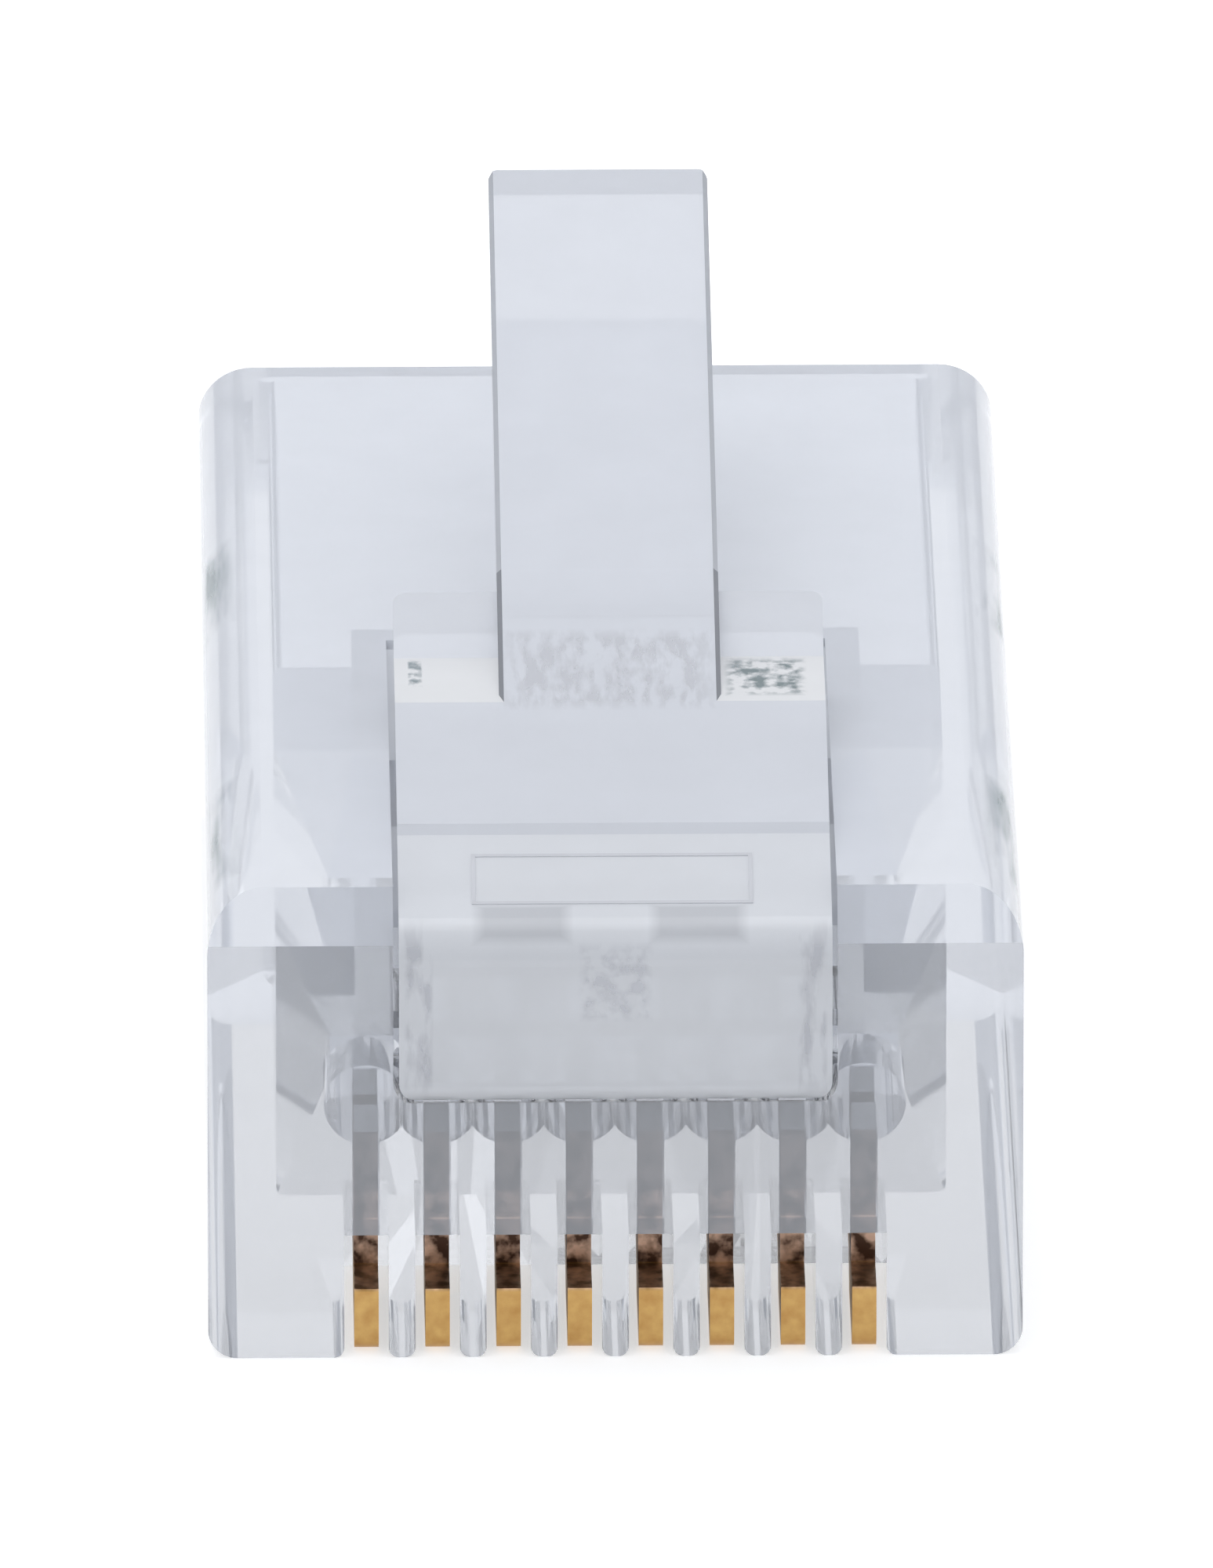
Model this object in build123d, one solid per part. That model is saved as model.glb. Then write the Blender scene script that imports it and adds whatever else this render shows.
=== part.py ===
from build123d import *
import os

# An uncrimped eight-position modular plug of clear polycarbonate, resting on its contact side with the
# latch up. Lengths are millimetres. While it is drawn, X runs across the plug, Y from the nose face (0)
# back to the cable end, and Z up from the contact side (0). The finished pieces are moved so that the
# middle of the plug is at Y = 0.

# Housing: outside of the moulding
body_width = 11.68
body_length = 21.5
body_height = 7.0
nose_chamfer = 0.65
top_edge_radius = 0.8
bottom_edge_radius = 0.42

# Cable cavity, from the open rear end forward
side_wall = 1.01
cavity_floor = 0.7
top_wall = 0.65
cavity_corner_radius = 0.15
mouth_chamfer = 0.12
roof_rear = 11.3
roof_front = 9.9
roof_side_rear = 9.8
trench_wall = 0.5
throat_roof = 4.95
throat_start = 7.5
funnel_front = 3.0

# Eight wire channels and the pitch that everything at the nose shares
contact_count = 8
pitch = 1.02
channel_radius = 0.6
channel_bottom = 3.03
channel_top = 4.25
channel_front = 1.1
channel_rear = 4.4

# Contact blades, stamped strip standing on edge
blade_thickness = 0.35
blade_front = 0.1
blade_length = 3.4
blade_bottom = 0.02
blade_shoulder = 2.3
blade_heel_rise = 0.5
blade_heel_length = 0.6
crown_top = 1.02
crown_length = 0.95
crown_radius = 0.32
tine_count = 2
tine_pitch = 1.45
tine_width = 0.6
tine_tip = 3.53
tine_point = 0.3
crimp_travel = 0.65
grip_clearance = 0.02
end_clearance = 0.03

# Open front slots, the gaps of the comb in front of and below the blades
slot_width = 0.64
slot_height = 1.89
tooth_radius = 0.15

# Latch: upright root at the nose, sprung strap with two locking shoulders, and the finger lever
latch_width = 6.2
latch_proud = 0.25
root_thickness = 0.9
root_pivot_height = 4.38
root_corner_radius = 0.4
knuckle_radius = 0.6
strap_start_height = 6.72
strap_rise = 0.24
strap_thickness = 1.1
strap_step = 0.08
strap_step_at = 2.3
strap_step_length = 0.15
land_front = 5.34
land_rear = 7.1
shoulder_y = 8.3
shoulder_height = 8.55
shoulder_corner_radius = 0.2
lever_width = 3.2
lever_crest_y = 8.5
lever_crest_height = 8.83
lever_tip_y = 18.6
lever_tip_height = 11.18
lever_tip_thickness = 0.8
lever_corner_radius = 0.15
lever_edge_chamfer = 0.07

# Trench under the latch, with the room that the root and the strap move in
trench_side_clearance = 0.08
trench_floor = 5.05
trench_floor_front = 4.0
trench_floor_rear = 9.2
trench_rear_height = 5.6
trench_end = 10.4
seat_clearance = 0.04
root_rear_clearance = 0.1

# Jacket clamp: a wedge-shaped bar in a window of the floor, hinged at its rear edge
clamp_width = 4.1
clamp_length = 4.65
clamp_inset = 3.75
clamp_pivot_height = 0.35
clamp_barrel_radius = 0.32
clamp_face_height = 0.05
clamp_tooth_height = 1.6
clamp_tooth_length = 0.9
clamp_clearance = 0.15
clamp_pocket_width = 1.37
clamp_pocket_gap = 1.2
clamp_pocket_inset = 0.4
clamp_pocket_length = 1.4
clamp_pocket_depth = 0.4

# Plain raised panel on the floor of the trench, under the strap
panel_width = 4.07
panel_front = 3.75
panel_length = 1.9
panel_height = 0.25

past_face = 1.0
cavity_width = body_width - 2 * side_wall
tine_front = blade_front + crown_length
blade_rear = blade_front + blade_length
clamp_pivot_y = body_length - clamp_inset
clamp_front = clamp_pivot_y - clamp_length


def side_profile(points, width):
    """A closed outline in the plug's side view, as thick as width across the plug and centred on it."""
    face = Plane.YZ * make_face(Polyline(*points, close=True))
    return extrude(face, width / 2, both=True)


def rod_across(y, z, radius, width):
    """A round rod that lies across the plug."""
    return Pos(0, y, z) * Rot(0, 90, 0) * Cylinder(radius, width)


def block(x, y_from, y_to, z_from, z_to, width):
    """A block of the given width centred on x, between two places along the plug and two heights."""
    size = Box(width, y_to - y_from, z_to - z_from)
    return Pos(x, (y_from + y_to) / 2, (z_from + z_to) / 2) * size


def contact_places():
    """Where the middle of each blade is, across the plug."""
    return [(n - (contact_count - 1) / 2) * pitch for n in range(contact_count)]


def outer_shape():
    """The rectangular body with rounded long edges and the sloping top edge of its nose."""
    side = side_profile(
        [
            (0, 0),
            (body_length, 0),
            (body_length, body_height),
            (nose_chamfer, body_height),
            (0, body_height - nose_chamfer),
        ],
        body_width,
    )
    bar = block(0, 0, body_length, 0, body_height, body_width)
    long_edges = bar.edges().filter_by(Axis.Y).group_by(Axis.Z)
    bar = fillet(long_edges[-1], top_edge_radius)
    long_edges = bar.edges().filter_by(Axis.Y).group_by(Axis.Z)
    bar = fillet(long_edges[0], bottom_edge_radius)
    return side & bar


def cable_cavity():
    """The hollow for the cable: square at the rear, and a funnel that leads the wires to their channels."""
    cavity_roof = body_height - top_wall
    mouth = body_length + past_face
    side = side_profile(
        [
            (funnel_front, channel_bottom + channel_radius),
            (funnel_front, channel_top),
            (throat_start, throat_roof),
            (roof_front, throat_roof),
            (roof_rear, cavity_roof),
            (mouth, cavity_roof),
            (mouth, cavity_floor),
            (throat_start, cavity_floor),
        ],
        cavity_width,
    )
    beside_trench = side_profile(
        [
            (throat_start, throat_roof),
            (roof_side_rear, cavity_roof),
            (roof_rear, cavity_roof),
            (roof_front, throat_roof),
        ],
        cavity_width,
    )
    clear_of_trench = latch_width + 2 * (trench_side_clearance + trench_wall)
    beside_trench -= block(0, 0, body_length, 0, body_height, clear_of_trench)
    comb_edge = contact_count * pitch / 2
    plan_points = [(comb_edge, funnel_front), (cavity_width / 2, throat_start), (cavity_width / 2, mouth)]
    plan_points += [(-x, y) for x, y in reversed(plan_points)]
    plan = extrude(make_face(Polyline(*plan_points, close=True)), body_height)
    tube = block(0, 0, mouth, cavity_floor, cavity_roof, cavity_width)
    tube = fillet(tube.edges().filter_by(Axis.Y), cavity_corner_radius)
    return (side + beside_trench) & plan & tube


def wire_channel(x):
    """One of the scalloped channels that hold a wire over its blade's tines."""
    height = channel_top - channel_bottom
    section = Rot(0, 0, 90) * SlotOverall(height, 2 * channel_radius)
    start = Pos(x, channel_front, (channel_bottom + channel_top) / 2) * Rot(90, 0, 0)
    return extrude(start * section, -(channel_rear - channel_front))


def contact_slot(x):
    """The wide open slot at the nose and the narrow one above it that grips the blade."""
    wide = block(x, -past_face, blade_rear + end_clearance, -past_face, slot_height, slot_width)
    grip_width = blade_thickness + 2 * grip_clearance
    grip = block(
        x,
        tine_front - end_clearance,
        blade_rear + end_clearance,
        0,
        channel_bottom + channel_radius,
        grip_width,
    )
    front_tine_room = block(
        x,
        tine_front - end_clearance,
        tine_front + tine_width + end_clearance,
        slot_height,
        tine_tip + crimp_travel + end_clearance,
        grip_width,
    )
    return wide + grip + front_tine_room


def root_outline(grow):
    """Front view of the latch root: as wide as the latch, with two rounded lower corners."""
    width = latch_width + 2 * grow
    lowest = root_pivot_height - root_thickness / 2 - grow
    height = body_height * 2
    front = block(0, -body_length, 2 * body_length, lowest, lowest + height, width)
    lower_edges = front.edges().filter_by(Axis.Y).group_by(Axis.Z)[0]
    return fillet(lower_edges, root_corner_radius)


def latch_trench():
    """The cut in the top of the nose that the latch stands in and is pressed down into."""
    pivot_y = root_thickness / 2 - latch_proud
    trench_width = latch_width + 2 * trench_side_clearance
    above = body_height + past_face
    seat = rod_across(pivot_y, root_pivot_height, root_thickness / 2 + seat_clearance, trench_width)
    root_rear = root_thickness - latch_proud + root_rear_clearance
    well = block(0, -past_face, root_rear, root_pivot_height, above, trench_width)
    floor = side_profile(
        [
            (-past_face, trench_floor),
            (trench_floor_front, trench_floor),
            (trench_floor_rear, trench_rear_height),
            (trench_end, body_height),
            (trench_end, above),
            (-past_face, above),
        ],
        trench_width,
    )
    return (seat + well + floor) & root_outline(trench_side_clearance)


def clamp_window():
    """The window in the floor for the jacket clamp, with the round seat of its hinge at the rear."""
    width = clamp_width + 2 * clamp_clearance
    opening = block(
        0, clamp_front - clamp_clearance, clamp_pivot_y, -past_face, cavity_floor + past_face, width
    )
    seat = rod_across(clamp_pivot_y, clamp_pivot_height, clamp_barrel_radius + seat_clearance, width)
    return opening + seat


def make_housing():
    """The one-piece moulding that holds everything."""
    body = outer_shape() - cable_cavity() - latch_trench() - clamp_window()
    panel_rear = panel_front + panel_length
    body += block(0, panel_front, panel_rear, trench_floor, trench_floor + panel_height, panel_width)
    for x in contact_places():
        body -= wire_channel(x)
        body -= contact_slot(x)
    comb_edges = (
        body.edges()
        .filter_by(Axis.Y)
        .filter_by(lambda e: abs(e.center().Z) < 0.01 and abs(e.center().X) < contact_count * pitch / 2)
        .filter_by(lambda e: e.center().Y < channel_rear)
    )
    body = fillet(comb_edges, tooth_radius)
    mouth_edges = (
        body.faces()
        .filter_by(Axis.Y)
        .sort_by(Axis.Y)[-1]
        .inner_wires()[0]
        .edges()
    )
    return chamfer(mouth_edges, mouth_chamfer)


def make_locking_latch():
    """The sprung latch: root, strap with the two locking shoulders, and the lever that is pressed."""
    pivot_y = root_thickness / 2 - latch_proud
    root_rear = root_thickness - latch_proud
    slope = Vector(1, strap_rise).length
    under_root = strap_start_height - strap_thickness * slope
    step_end = strap_step_at + strap_step_length / 2
    step_start = strap_step_at - strap_step_length / 2

    def strap_top(y):
        return strap_start_height + strap_rise * y

    def strap_under(y):
        return under_root + strap_rise * y

    strap = side_profile(
        [
            (-latch_proud, root_pivot_height),
            (-latch_proud, strap_top(-latch_proud) - strap_step),
            (step_start, strap_top(step_start) - strap_step),
            (step_end, strap_top(step_end)),
            (land_front, strap_top(land_front)),
            (land_rear, strap_top(land_front)),
            (shoulder_y, shoulder_height),
            (shoulder_y, strap_under(shoulder_y)),
            (root_rear, strap_under(root_rear)),
            (root_rear, root_pivot_height),
        ],
        latch_width,
    )
    knuckle = strap.edges().filter_by(Axis.X).sort_by(lambda e: e.center().Y - e.center().Z)[0]
    strap = fillet(knuckle, knuckle_radius)
    root_end = rod_across(pivot_y, root_pivot_height, root_thickness / 2, latch_width)
    plan = block(0, -body_length, shoulder_y, 0, 2 * body_height, latch_width)
    rear_corners = plan.edges().filter_by(Axis.Z).group_by(Axis.Y)[-1]
    plan = fillet(rear_corners, shoulder_corner_radius)
    strap = (strap + root_end) & plan & root_outline(0)

    lever = side_profile(
        [
            (land_front, strap_top(land_front)),
            (lever_crest_y, lever_crest_height),
            (lever_tip_y, lever_tip_height),
            (lever_tip_y, lever_tip_height - lever_tip_thickness),
            (land_front, strap_under(land_front)),
        ],
        lever_width,
    )
    long_edges = lever.edges().filter_by(lambda e: abs(e.center().X) > 0 and e.length > lever_width)
    lever = chamfer(long_edges, lever_edge_chamfer)
    tip_edges = lever.edges().filter_by(Axis.Z).group_by(Axis.Y)[-1]
    lever = fillet(tip_edges, lever_corner_radius)
    return strap + lever


def make_jacket_clamp():
    """The bar that the crimping tool swings up against the cable's jacket."""
    bar = side_profile(
        [
            (clamp_front, clamp_face_height),
            (clamp_front, clamp_tooth_height),
            (clamp_front + clamp_tooth_length, clamp_tooth_height),
            (clamp_pivot_y, clamp_pivot_height + clamp_barrel_radius),
            (clamp_pivot_y, clamp_face_height),
        ],
        clamp_width,
    )
    barrel = rod_across(clamp_pivot_y, clamp_pivot_height, clamp_barrel_radius, clamp_width)
    clamp = bar + barrel
    pocket_start = clamp_front + clamp_pocket_inset
    for side in (-1, 1):
        clamp -= block(
            side * (clamp_pocket_gap + clamp_pocket_width) / 2,
            pocket_start,
            pocket_start + clamp_pocket_length,
            clamp_face_height - past_face,
            clamp_face_height + clamp_pocket_depth,
            clamp_pocket_width,
        )
    return clamp


def make_contact(x):
    """One stamped blade: its crown stands forward in the slot, and its tines pierce the wire above."""
    blade = side_profile(
        [
            (blade_front, blade_bottom),
            (blade_front, crown_top),
            (tine_front, crown_top),
            (tine_front, blade_shoulder),
            (blade_rear, blade_shoulder),
            (blade_rear, blade_bottom + blade_heel_rise),
            (blade_rear - blade_heel_length, blade_bottom + blade_heel_rise),
            (blade_rear - blade_heel_length - blade_heel_rise, blade_bottom),
        ],
        blade_thickness,
    )
    crown = blade.edges().filter_by(Axis.X).sort_by(lambda e: e.center().Y + e.center().Z)[0]
    blade = fillet(crown, crown_radius)
    for n in range(tine_count):
        start = tine_front + n * tine_pitch
        blade += side_profile(
            [
                (start, blade_shoulder),
                (start, tine_tip - tine_point),
                (start + tine_width / 2, tine_tip),
                (start + tine_width, tine_tip - tine_point),
                (start + tine_width, blade_shoulder),
            ],
            blade_thickness,
        )
    return Pos(x, 0, 0) * blade


def write_part(name, shape):
    """Moves a piece so that the middle of the plug is at Y = 0, and writes it."""
    middle = (body_length - latch_proud) / 2
    export_step(Pos(0, -middle, 0) * shape, f"parts/{name}.step")


os.makedirs("parts", exist_ok=True)
write_part("housing", make_housing())
write_part("locking_latch", make_locking_latch())
write_part("jacket_clamp", make_jacket_clamp())
for number, place in enumerate(contact_places(), start=1):
    write_part(f"contact_{number}", make_contact(place))
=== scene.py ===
import math
import bmesh
import bpy
from mathutils import Matrix, Vector


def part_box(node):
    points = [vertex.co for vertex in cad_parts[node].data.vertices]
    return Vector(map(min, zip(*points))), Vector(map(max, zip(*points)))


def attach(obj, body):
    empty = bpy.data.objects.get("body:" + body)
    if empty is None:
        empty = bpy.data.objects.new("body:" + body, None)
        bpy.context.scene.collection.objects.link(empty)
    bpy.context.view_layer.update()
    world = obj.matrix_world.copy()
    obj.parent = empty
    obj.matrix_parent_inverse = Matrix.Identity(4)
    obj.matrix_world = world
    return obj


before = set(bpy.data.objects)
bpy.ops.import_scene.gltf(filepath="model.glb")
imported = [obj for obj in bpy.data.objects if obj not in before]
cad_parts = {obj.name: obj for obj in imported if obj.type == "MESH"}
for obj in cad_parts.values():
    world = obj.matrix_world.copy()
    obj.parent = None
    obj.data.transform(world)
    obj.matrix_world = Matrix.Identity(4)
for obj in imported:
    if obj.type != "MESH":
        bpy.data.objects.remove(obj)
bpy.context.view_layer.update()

# Camera: a long lens that looks down on the nose from in front, a little to the left of the plug's middle.
# The photograph is 1547 by 2000 pixels, and at the nose one millimetre of the plug takes up 88.9 of them.
photo_width_px = 1547
photo_height_px = 2000
sensor_height = 36.0
look_down = math.radians(21.4)
look_right = math.radians(0.8)
camera_distance = 0.7
px_per_metre_at_nose = 88900
nose_px = (785, 1730)

forward = Vector((
    math.sin(look_right) * math.cos(look_down),
    math.cos(look_right) * math.cos(look_down),
    -math.sin(look_down),
))
right = Vector((math.cos(look_right), -math.sin(look_right), 0))
up = right.cross(forward)
nose_edge = Vector((0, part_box("housing")[0].y, 0))
camera_data = bpy.data.cameras.new("camera")
camera_data.sensor_fit = "VERTICAL"
camera_data.sensor_height = sensor_height
camera_data.lens = px_per_metre_at_nose * sensor_height * camera_distance / photo_height_px
camera_data.clip_start = 0.01
camera = bpy.data.objects.new("camera", camera_data)
aside = (photo_width_px / 2 - nose_px[0]) / px_per_metre_at_nose
above = (nose_px[1] - photo_height_px / 2) / px_per_metre_at_nose
camera.matrix_world = Matrix.Translation(
    nose_edge + right * aside + up * above - forward * camera_distance
) @ Matrix((right, up, -forward)).transposed().to_4x4()
bpy.context.scene.collection.objects.link(camera)
bpy.context.scene.camera = camera


# Studio: a white sheet under and behind the plug, lit by a big soft lamp overhead and the pale room round it.
# The sheet looks white to the camera and through the plastic, and keeps the plug's shadow.
# The room is pale blue, and a little greyer behind the camera.
def math_node(nodes, links, operation, first, second):
    node = nodes.new("ShaderNodeMath")
    node.operation = operation
    links.new(first, node.inputs[0])
    links.new(second, node.inputs[1])
    return node.outputs[0]


def map_range(nodes, links, value, from_min, from_max, to_min=0.0, to_max=1.0):
    node = nodes.new("ShaderNodeMapRange")
    node.inputs["From Min"].default_value = from_min
    node.inputs["From Max"].default_value = from_max
    node.inputs["To Min"].default_value = to_min
    node.inputs["To Max"].default_value = to_max
    links.new(value, node.inputs["Value"])
    return node.outputs[0]


def colour_ramp(nodes, links, factor, first, last, start=0.0, stop=1.0):
    node = nodes.new("ShaderNodeValToRGB")
    node.color_ramp.elements[0].position = start
    node.color_ramp.elements[0].color = (*first, 1)
    node.color_ramp.elements[1].position = stop
    node.color_ramp.elements[1].color = (*last, 1)
    links.new(factor, node.inputs["Fac"])
    return node.outputs["Color"]


sheet_size = 3.0
sheet_tone = (0.7, 0.7, 0.7, 1)
sheet_glow = 0.6
bm = bmesh.new()
bmesh.ops.create_grid(bm, x_segments=1, y_segments=1, size=sheet_size)
sheet_mesh = bpy.data.meshes.new("white_sheet")
bm.to_mesh(sheet_mesh)
bm.free()
white_sheet = bpy.data.objects.new("white_sheet", sheet_mesh)
bpy.context.scene.collection.objects.link(white_sheet)
sheet_paper = bpy.data.materials.new("sheet_paper")
sheet_paper.use_nodes = True
nodes, links = sheet_paper.node_tree.nodes, sheet_paper.node_tree.links
nodes.clear()
paper = nodes.new("ShaderNodeBsdfDiffuse")
paper.inputs["Color"].default_value = sheet_tone
glow = nodes.new("ShaderNodeEmission")
glow.inputs["Strength"].default_value = sheet_glow
glowing_paper = nodes.new("ShaderNodeAddShader")
links.new(paper.outputs[0], glowing_paper.inputs[0])
links.new(glow.outputs[0], glowing_paper.inputs[1])
ray = nodes.new("ShaderNodeLightPath").outputs
camera_or_glossy = math_node(nodes, links, "MAXIMUM", ray["Is Camera Ray"], ray["Is Glossy Ray"])
or_through = math_node(nodes, links, "MAXIMUM", camera_or_glossy, ray["Is Transmission Ray"])
sheet_shader = nodes.new("ShaderNodeMixShader")
links.new(or_through, sheet_shader.inputs[0])
links.new(paper.outputs[0], sheet_shader.inputs[1])
links.new(glowing_paper.outputs[0], sheet_shader.inputs[2])
output = nodes.new("ShaderNodeOutputMaterial")
links.new(sheet_shader.outputs[0], output.inputs["Surface"])
sheet_mesh.materials.append(sheet_paper)

room_strength = 0.85
room_behind, room_ahead = (0.86, 0.89, 0.94), (0.94, 0.96, 1.0)
behind_y, ahead_y = -0.9, 0.2
room = bpy.data.worlds.new("room")
bpy.context.scene.world = room
room.use_nodes = True
nodes, links = room.node_tree.nodes, room.node_tree.links
nodes.clear()
direction = nodes.new("ShaderNodeTexCoord")
split = nodes.new("ShaderNodeSeparateXYZ")
links.new(direction.outputs["Generated"], split.inputs[0])
depth = map_range(nodes, links, split.outputs["Y"], behind_y, ahead_y)
air = nodes.new("ShaderNodeBackground")
air.inputs["Strength"].default_value = room_strength
links.new(colour_ramp(nodes, links, depth, room_behind, room_ahead), air.inputs["Color"])
output = nodes.new("ShaderNodeOutputWorld")
links.new(air.outputs[0], output.inputs["Surface"])

lamp_data = bpy.data.lights.new("soft_lamp", "AREA")
lamp_data.shape = "RECTANGLE"
lamp_data.size = 0.5
lamp_data.size_y = 0.4
lamp_data.energy = 0.5
lamp = bpy.data.objects.new("soft_lamp", lamp_data)
lamp.location = (-0.12, 0.1, 0.5)
lamp.rotation_euler = (-lamp.location).to_track_quat("-Z", "Y").to_euler()
bpy.context.scene.collection.objects.link(lamp)


# Housing: one moulding of clear polycarbonate from a polished steel mould. The comb at the nose is the
# clearest part; the outside skin is hazier, and the cable hollow is drawn off a core with fine flow marks.
# The nose and comb are tinted darker than the rest as painted shade, and the funnel is white and hazy as
# painted light.
# Dark streaks along its rounded top edges are painted reflections.
def noise(nodes, links, vector, scale, detail):
    node = nodes.new("ShaderNodeTexNoise")
    node.inputs["Scale"].default_value = scale
    node.inputs["Detail"].default_value = detail
    links.new(vector, node.inputs["Vector"])
    return node.outputs["Fac"]


def vector_node(nodes, links, operation, first, second=(0, 0, 0)):
    node = nodes.new("ShaderNodeVectorMath")
    node.operation = operation
    node.inputs[1].default_value = second
    links.new(first, node.inputs[0])
    return node.outputs[0]


def add_scaled(nodes, links, base, extra, scale):
    node = nodes.new("ShaderNodeMath")
    node.operation = "MULTIPLY_ADD"
    node.inputs[1].default_value = scale
    links.new(extra, node.inputs[0])
    links.new(base, node.inputs[2])
    return node.outputs[0]


def box_mask(nodes, links, place, low, high):
    """1 inside a box of the object's own coordinates, falling to 0 over a narrow margin round it."""
    middle = [(a + b) / 2 for a, b in zip(low, high)]
    half_size = [(b - a) / 2 for a, b in zip(low, high)]
    distance = vector_node(nodes, links, "ABSOLUTE", vector_node(nodes, links, "SUBTRACT", place, middle))
    split = nodes.new("ShaderNodeSeparateXYZ")
    links.new(vector_node(nodes, links, "DIVIDE", distance, half_size), split.inputs[0])
    farthest = math_node(nodes, links, "MAXIMUM", split.outputs["X"], split.outputs["Y"])
    farthest = math_node(nodes, links, "MAXIMUM", farthest, split.outputs["Z"])
    return map_range(nodes, links, farthest, 1.1, 0.8)


def bump(nodes, links, height, strength, shader):
    node = nodes.new("ShaderNodeBump")
    node.inputs["Strength"].default_value = strength
    node.inputs["Distance"].default_value = 0.00001
    links.new(height, node.inputs["Height"])
    links.new(node.outputs[0], shader.inputs["Normal"])


def new_material(name):
    """A material with its nodes, its links, its Principled shader and the object's own coordinates."""
    material = bpy.data.materials.new(name)
    material.use_nodes = True
    nodes = material.node_tree.nodes
    place = nodes.new("ShaderNodeTexCoord").outputs["Object"]
    return material, nodes, material.node_tree.links, nodes["Principled BSDF"], place


polycarbonate_ior = 1.585
flow_scale = 900
patch_scale = 1000
patch_roughness = 0.25


def clear_plastic(name, tone, haze, rough, patches=()):
    """Clear plastic with faint flow marks. Haze is the share of light that it scatters.

    Patches are boxes where the mould left it textured, or where shade, highlights or reflections are painted
    on: low corner, high corner, tone, grain, depth.
    """
    material, nodes, links, plastic, place = new_material(name)
    plastic.inputs["IOR"].default_value = polycarbonate_ior
    plastic.inputs["Transmission Weight"].default_value = 1 - haze
    height = noise(nodes, links, place, flow_scale, 4)
    colour = colour_ramp(nodes, links, height, [c * 0.97 for c in tone], tone, 0.3, 0.7)
    roughness = map_range(nodes, links, height, 0, 1, rough * 0.5, rough * 1.5)
    for low, high, patch_tone, grain, depth in patches:
        stretch = nodes.new("ShaderNodeMapping")
        stretch.inputs["Scale"].default_value = grain
        links.new(place, stretch.inputs["Vector"])
        texture = noise(nodes, links, stretch.outputs[0], patch_scale, 3)
        spots = map_range(nodes, links, texture, 0.42, 0.6)
        textured = math_node(nodes, links, "MULTIPLY", box_mask(nodes, links, place, low, high), spots)
        mixed = nodes.new("ShaderNodeMixRGB")
        mixed.inputs[2].default_value = (*patch_tone, 1)
        links.new(textured, mixed.inputs[0])
        links.new(colour, mixed.inputs[1])
        colour = mixed.outputs[0]
        roughness = add_scaled(nodes, links, roughness, textured, patch_roughness)
        height = add_scaled(nodes, links, height, textured, depth)
    links.new(colour, plastic.inputs["Base Color"])
    links.new(roughness, plastic.inputs["Roughness"])
    bump(nodes, links, height, 0.03, plastic)
    return material


housing_low, housing_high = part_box("housing")
nose_y = housing_low.y
# Painted reflections: dark streaks on the rounded top edges, two along each side.
streak_x, streak_half_width = 0.00555, 0.00025
streak_bottom, streak_top = 0.0059, 0.0069
edge_reflection_streaks = [
    (
        (side * streak_x - streak_half_width, nose_y + start, streak_bottom),
        (side * streak_x + streak_half_width, nose_y + start + length, streak_top),
        (0.3, 0.37, 0.39), (2, 0.25, 1.5), 10,
    )
    for side in (-1, 1)
    for start, length in ((0.0115, 0.0032), (0.0015, 0.0036))
]
housing_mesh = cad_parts["housing"].data
housing_mesh.materials.clear()
# Painted shade and light: the nose and comb are tinted darker, and the funnel is white and hazy.
housing_mesh.materials.append(clear_plastic("housing_top", (0.875, 0.9, 0.96), 0.55, 0.05, edge_reflection_streaks))
housing_mesh.materials.append(clear_plastic("housing_nose_shaded", (0.79, 0.81, 0.855), 0.32, 0.03))
housing_mesh.materials.append(clear_plastic("housing_comb_shaded", (0.7, 0.72, 0.765), 0.1, 0.03))
housing_mesh.materials.append(clear_plastic("housing_hollow", (0.95, 0.965, 1.0), 0.52, 0.06))
housing_mesh.materials.append(clear_plastic("housing_side", (0.9, 0.92, 0.965), 0.25, 0.04))
housing_mesh.materials.append(clear_plastic("housing_panel", (1, 1, 1), 0.85, 0.2))
housing_mesh.materials.append(clear_plastic("housing_funnel_lit", (1, 1, 1), 0.3, 0.05))
TOP, NOSE, COMB, HOLLOW, SIDE, PANEL, FUNNEL = range(7)
channel_end, funnel_end = 0.0046, 0.0076
skin = 0.0001
wall = 0.0009
panel_half_width = 0.00205
panel_rear = 0.0057
panel_top = (0.0052, 0.0054)
for polygon in housing_mesh.polygons:
    middle, normal = polygon.center, polygon.normal
    behind_nose = middle.y - housing_low.y
    on_panel = abs(middle.x) < panel_half_width and behind_nose < panel_rear
    if on_panel and panel_top[0] < middle.z < panel_top[1]:
        polygon.material_index = PANEL
    elif normal.z > 0.3 and middle.z > housing_high.z - wall and behind_nose > skin:
        polygon.material_index = TOP
    elif behind_nose < skin:
        polygon.material_index = NOSE
    elif middle.z < housing_low.z + wall or behind_nose < channel_end and middle.z < panel_top[0] - skin:
        polygon.material_index = COMB
    elif behind_nose < funnel_end and middle.z < panel_top[0] - skin:
        polygon.material_index = FUNNEL
    elif abs(middle.x) > housing_high.x - skin:
        polygon.material_index = SIDE
    elif normal.z > 0 and middle.z > panel_top[0] - skin:
        polygon.material_index = TOP
    else:
        polygon.material_index = HOLLOW
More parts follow.
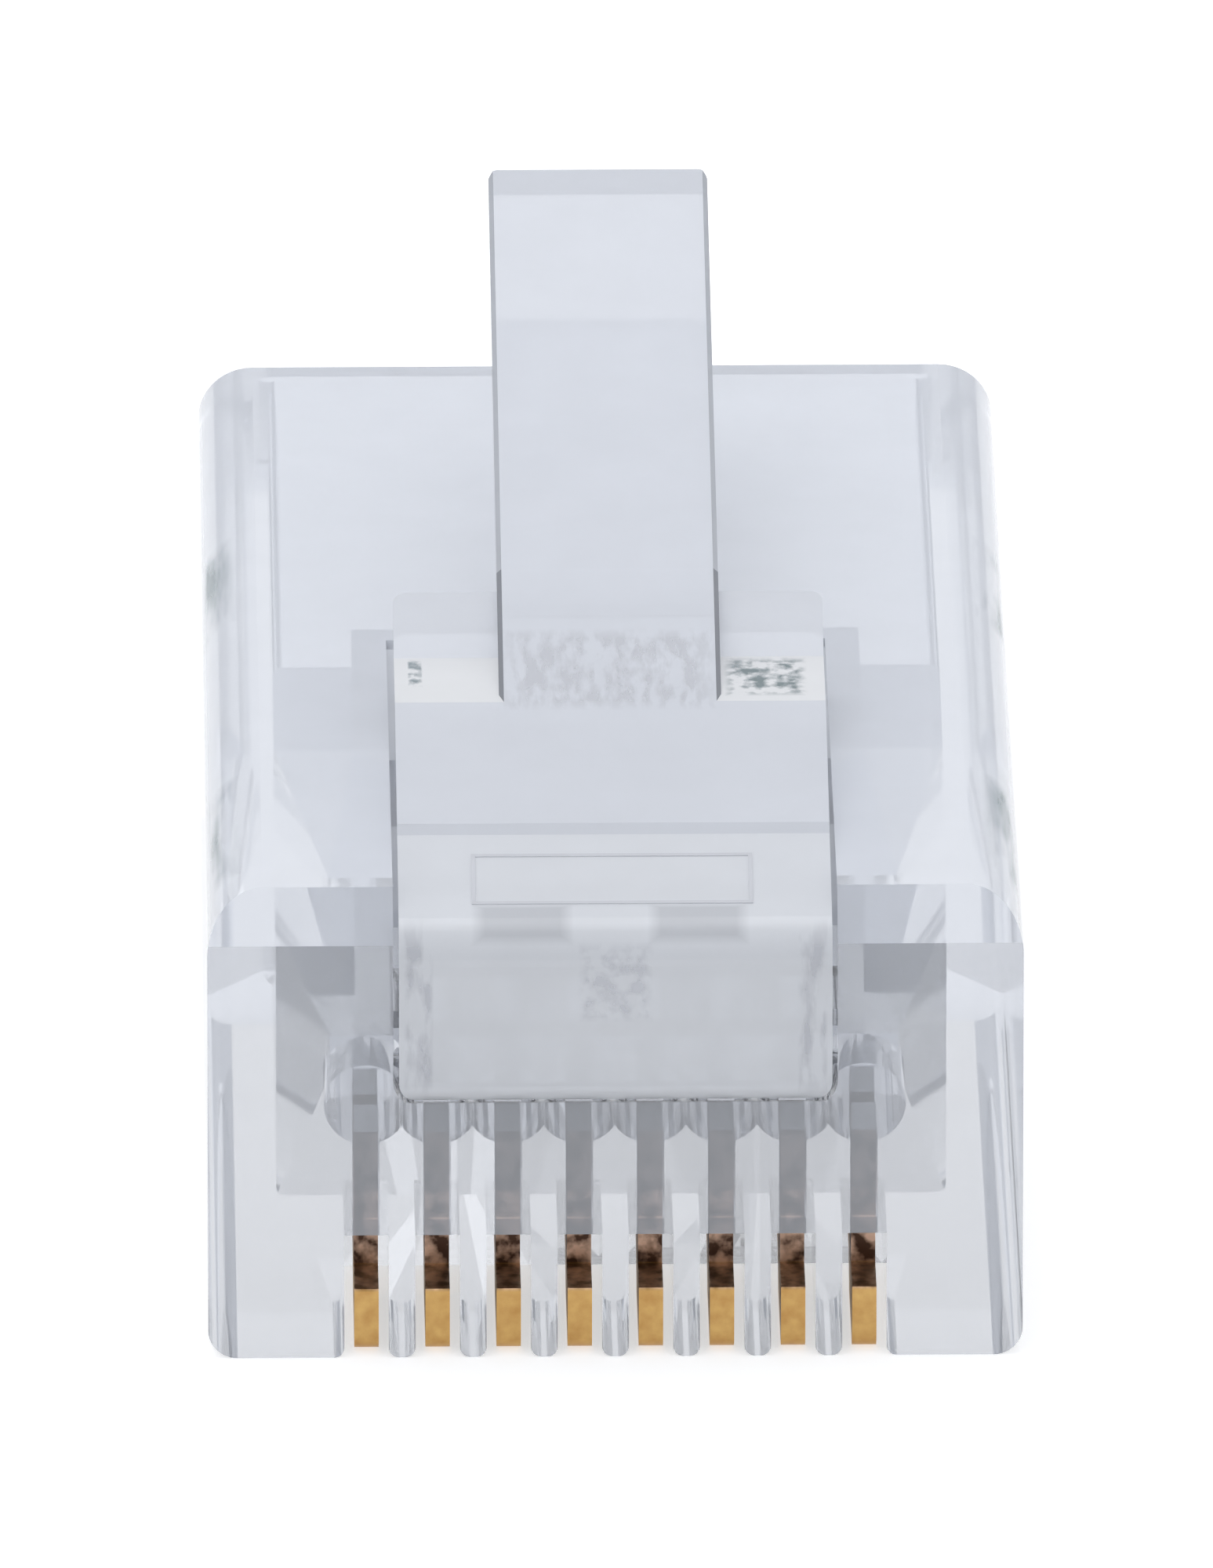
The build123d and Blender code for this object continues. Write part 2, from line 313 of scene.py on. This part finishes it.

# Locking latch: of the same moulding as the housing, a strap bent over at its root and a lever to press.
# The lever is frosted where it leaves the strap, the root has rippled edges, and the gate left its mark.
# The locking land beside the lever is painted white and hazy as a highlight, and its dark speckles are
# painted reflections.
frosting = (0.74, 0.75, 0.79)
frosted_lever = (
    (-0.0015, nose_y + 0.0052, 0.0075), (0.0015, nose_y + 0.007, 0.009), frosting, (6, 2, 2), 40,
)
ripple_x, ripple_half_width = 0.00282, 0.0002
rippled_root = [
    (
        (side * ripple_x - ripple_half_width, nose_y - 0.0004, 0.0042),
        (side * ripple_x + ripple_half_width, nose_y + 0.0007, 0.0066),
        frosting, (5, 1, 1.6), 60,
    )
    for side in (-1, 1)
]
gate_mark = ((-0.0005, nose_y - 0.0004, 0.0053), (0.0005, nose_y, 0.0064), (0.8, 0.81, 0.85), (5, 1, 5), 80)
# Painted shade: flat dark grey patches, with no grain, in the two top corners at the front of the latch root.
shaded_corner_width = 0.00134
shaded_corners = [
    (
        (left, nose_y - 0.00014, 0.0062),
        (left + shaded_corner_width, nose_y + 0.0005, 0.0068),
        (0.45, 0.46, 0.49), (0, 0, 0), 5,
    )
    for left in (-0.002, 0.00052)
]
# Painted reflections: dark speckles on the locking land, most of them on the right.
land_low, land_high = 0.0078, 0.0082
land_reflection_speckles = [
    (
        (0.0017, nose_y + 0.0056, land_low), (0.0028, nose_y + 0.007, land_high),
        (0.2, 0.26, 0.27), (4, 4, 4), 10,
    ),
    (
        (-0.0029, nose_y + 0.006, land_low), (-0.0027, nose_y + 0.007, land_high),
        (0.3, 0.36, 0.38), (4, 4, 4), 10,
    ),
]
root_marks_and_shade = [gate_mark, *rippled_root, *shaded_corners]
latch_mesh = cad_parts["locking_latch"].data
latch_mesh.materials.clear()
latch_mesh.materials.append(clear_plastic("latch_root", (0.955, 0.97, 1.0), 0.68, 0.05, root_marks_and_shade))
latch_mesh.materials.append(clear_plastic("latch_strap", (0.915, 0.935, 0.985), 0.68, 0.05, [frosted_lever]))
latch_mesh.materials.append(clear_plastic("latch_land", (1, 1, 1), 0.75, 0.1, land_reflection_speckles))
# Painted shade: the sloping side faces of the lever are tinted dark, darkest in front of the crest towards
# the root.
latch_mesh.materials.append(clear_plastic("lever_edge_shade", (0.6, 0.62, 0.66), 0.6, 0.1))
latch_mesh.materials.append(clear_plastic("lever_root_edge_shade", (0.25, 0.26, 0.29), 0.7, 0.1))
ROOT, STRAP, LAND, LEVER_EDGE_SHADE, LEVER_ROOT_EDGE_SHADE = range(5)
strap_front = nose_y + 0.0022
land_front, land_rear = nose_y + 0.0054, nose_y + 0.0071
crest = nose_y + 0.0085
for polygon in latch_mesh.polygons:
    middle, normal = polygon.center, polygon.normal
    if land_front < middle.y < land_rear and normal.z > 0.99:
        polygon.material_index = LAND
    elif normal.z > 0.3 and 0.5 < abs(normal.x) < 0.9:
        polygon.material_index = LEVER_ROOT_EDGE_SHADE if middle.y < crest else LEVER_EDGE_SHADE
    elif normal.z > 0 and middle.y > strap_front:
        polygon.material_index = STRAP
    else:
        polygon.material_index = ROOT

# Frame on the strap, just behind its bend: a fine raised rim moulded round a plain field.
# It is part of the latch's moulding, so it bends down with it.
frame_left, frame_right = -0.00205, 0.00198
frame_front, frame_rear = nose_y + 0.00053, nose_y + 0.00174
rim_width, rim_height = 0.00006, 0.000015
strap_slope = 0.24
strap_top_at_nose = 0.00664
bm = bmesh.new()
for bar_left, bar_right, bar_front, bar_rear in (
    (frame_left, frame_right, frame_front, frame_front + rim_width),
    (frame_left, frame_right, frame_rear - rim_width, frame_rear),
    (frame_left, frame_left + rim_width, frame_front + rim_width, frame_rear - rim_width),
    (frame_right - rim_width, frame_right, frame_front + rim_width, frame_rear - rim_width),
):
    for vert in bmesh.ops.create_cube(bm, size=1)["verts"]:
        x = (bar_left + bar_right) / 2 + vert.co.x * (bar_right - bar_left)
        y = (bar_front + bar_rear) / 2 + vert.co.y * (bar_rear - bar_front)
        strap_top = strap_top_at_nose + strap_slope * (y - nose_y)
        vert.co = (x, y, strap_top + vert.co.z * 2 * rim_height)
rim_mesh = bpy.data.meshes.new("strap_frame")
bm.to_mesh(rim_mesh)
bm.free()
rim_mesh.materials.append(clear_plastic("frame_plastic", (0.95, 0.96, 1), 0.6, 0.15))
strap_frame = bpy.data.objects.new("strap_frame", rim_mesh)
bpy.context.scene.collection.objects.link(strap_frame)
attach(strap_frame, "latch")

# Jacket clamp: the same plastic again, a bar on a thin web that the crimping tool breaks.
# It is pressed up through its window until it holds the cable's jacket.
clamp_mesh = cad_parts["jacket_clamp"].data
clamp_mesh.materials.clear()
clamp_mesh.materials.append(clear_plastic("clamp_plastic", (0.93, 0.945, 0.975), 0.3, 0.05))


# Contact blades: phosphor bronze strip, stamped, nickel plated all over and gold plated on the crown.
# The gold stops a little over a millimetre above the contact side; above it the blade is coloured dark and
# mottled, and above the shoulder it is darker still with painted shade.
# The top faces of the tine tips are coloured a bright metal, a painted highlight.
def plated_blade():
    gold_line, shoulder_line, line_blur = 0.00101, 0.0023, 0.00004
    material, nodes, links, metal, place = new_material("plated_blade")
    metal.inputs["Metallic"].default_value = 1
    grain = noise(nodes, links, place, 4000, 3)
    gold = colour_ramp(nodes, links, grain, (0.36, 0.17, 0.05), (0.72, 0.48, 0.18))
    nickel = colour_ramp(nodes, links, grain, (0.07, 0.038, 0.026), (0.7, 0.48, 0.36), 0.38, 0.62)
    # Painted shade: above the shoulder line the blade is darker still.
    nickel_painted_shade = colour_ramp(nodes, links, grain, (0.03, 0.02, 0.016), (0.26, 0.2, 0.17), 0.38, 0.62)
    split = nodes.new("ShaderNodeSeparateXYZ")
    links.new(place, split.inputs[0])
    plating = gold
    for line, above in ((gold_line, nickel), (shoulder_line, nickel_painted_shade)):
        mixed = nodes.new("ShaderNodeMixRGB")
        is_above = map_range(nodes, links, split.outputs["Z"], line - line_blur, line + line_blur)
        links.new(is_above, mixed.inputs[0])
        links.new(plating, mixed.inputs[1])
        links.new(above, mixed.inputs[2])
        plating = mixed.outputs[0]
    links.new(plating, metal.inputs["Base Color"])
    links.new(map_range(nodes, links, grain, 0, 1, 0.25, 0.5), metal.inputs["Roughness"])
    bump(nodes, links, grain, 0.3, metal)
    return material


# Painted highlight: the top faces of the tine tips are a bright metal.
def tine_tip_highlight():
    material, nodes, links, metal, place = new_material("tine_tip_highlight")
    metal.inputs["Metallic"].default_value = 1
    metal.inputs["Roughness"].default_value = 0.5
    grain = noise(nodes, links, place, 6000, 2)
    bright = colour_ramp(nodes, links, grain, (0.5, 0.5, 0.48), (0.9, 0.9, 0.9))
    links.new(bright, metal.inputs["Base Color"])
    return material


BLADE, TINE_TIP = range(2)
blade_materials = plated_blade(), tine_tip_highlight()
tip_start = 0.003
for name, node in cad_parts.items():
    if name.startswith("contact_"):
        node.data.materials.clear()
        for material in blade_materials:
            node.data.materials.append(material)
        for polygon in node.data.polygons:
            on_tip = polygon.center.z > tip_start and polygon.normal.z > 0.3
            polygon.material_index = TINE_TIP if on_tip else BLADE

bpy.context.scene.view_settings.view_transform = "Standard"
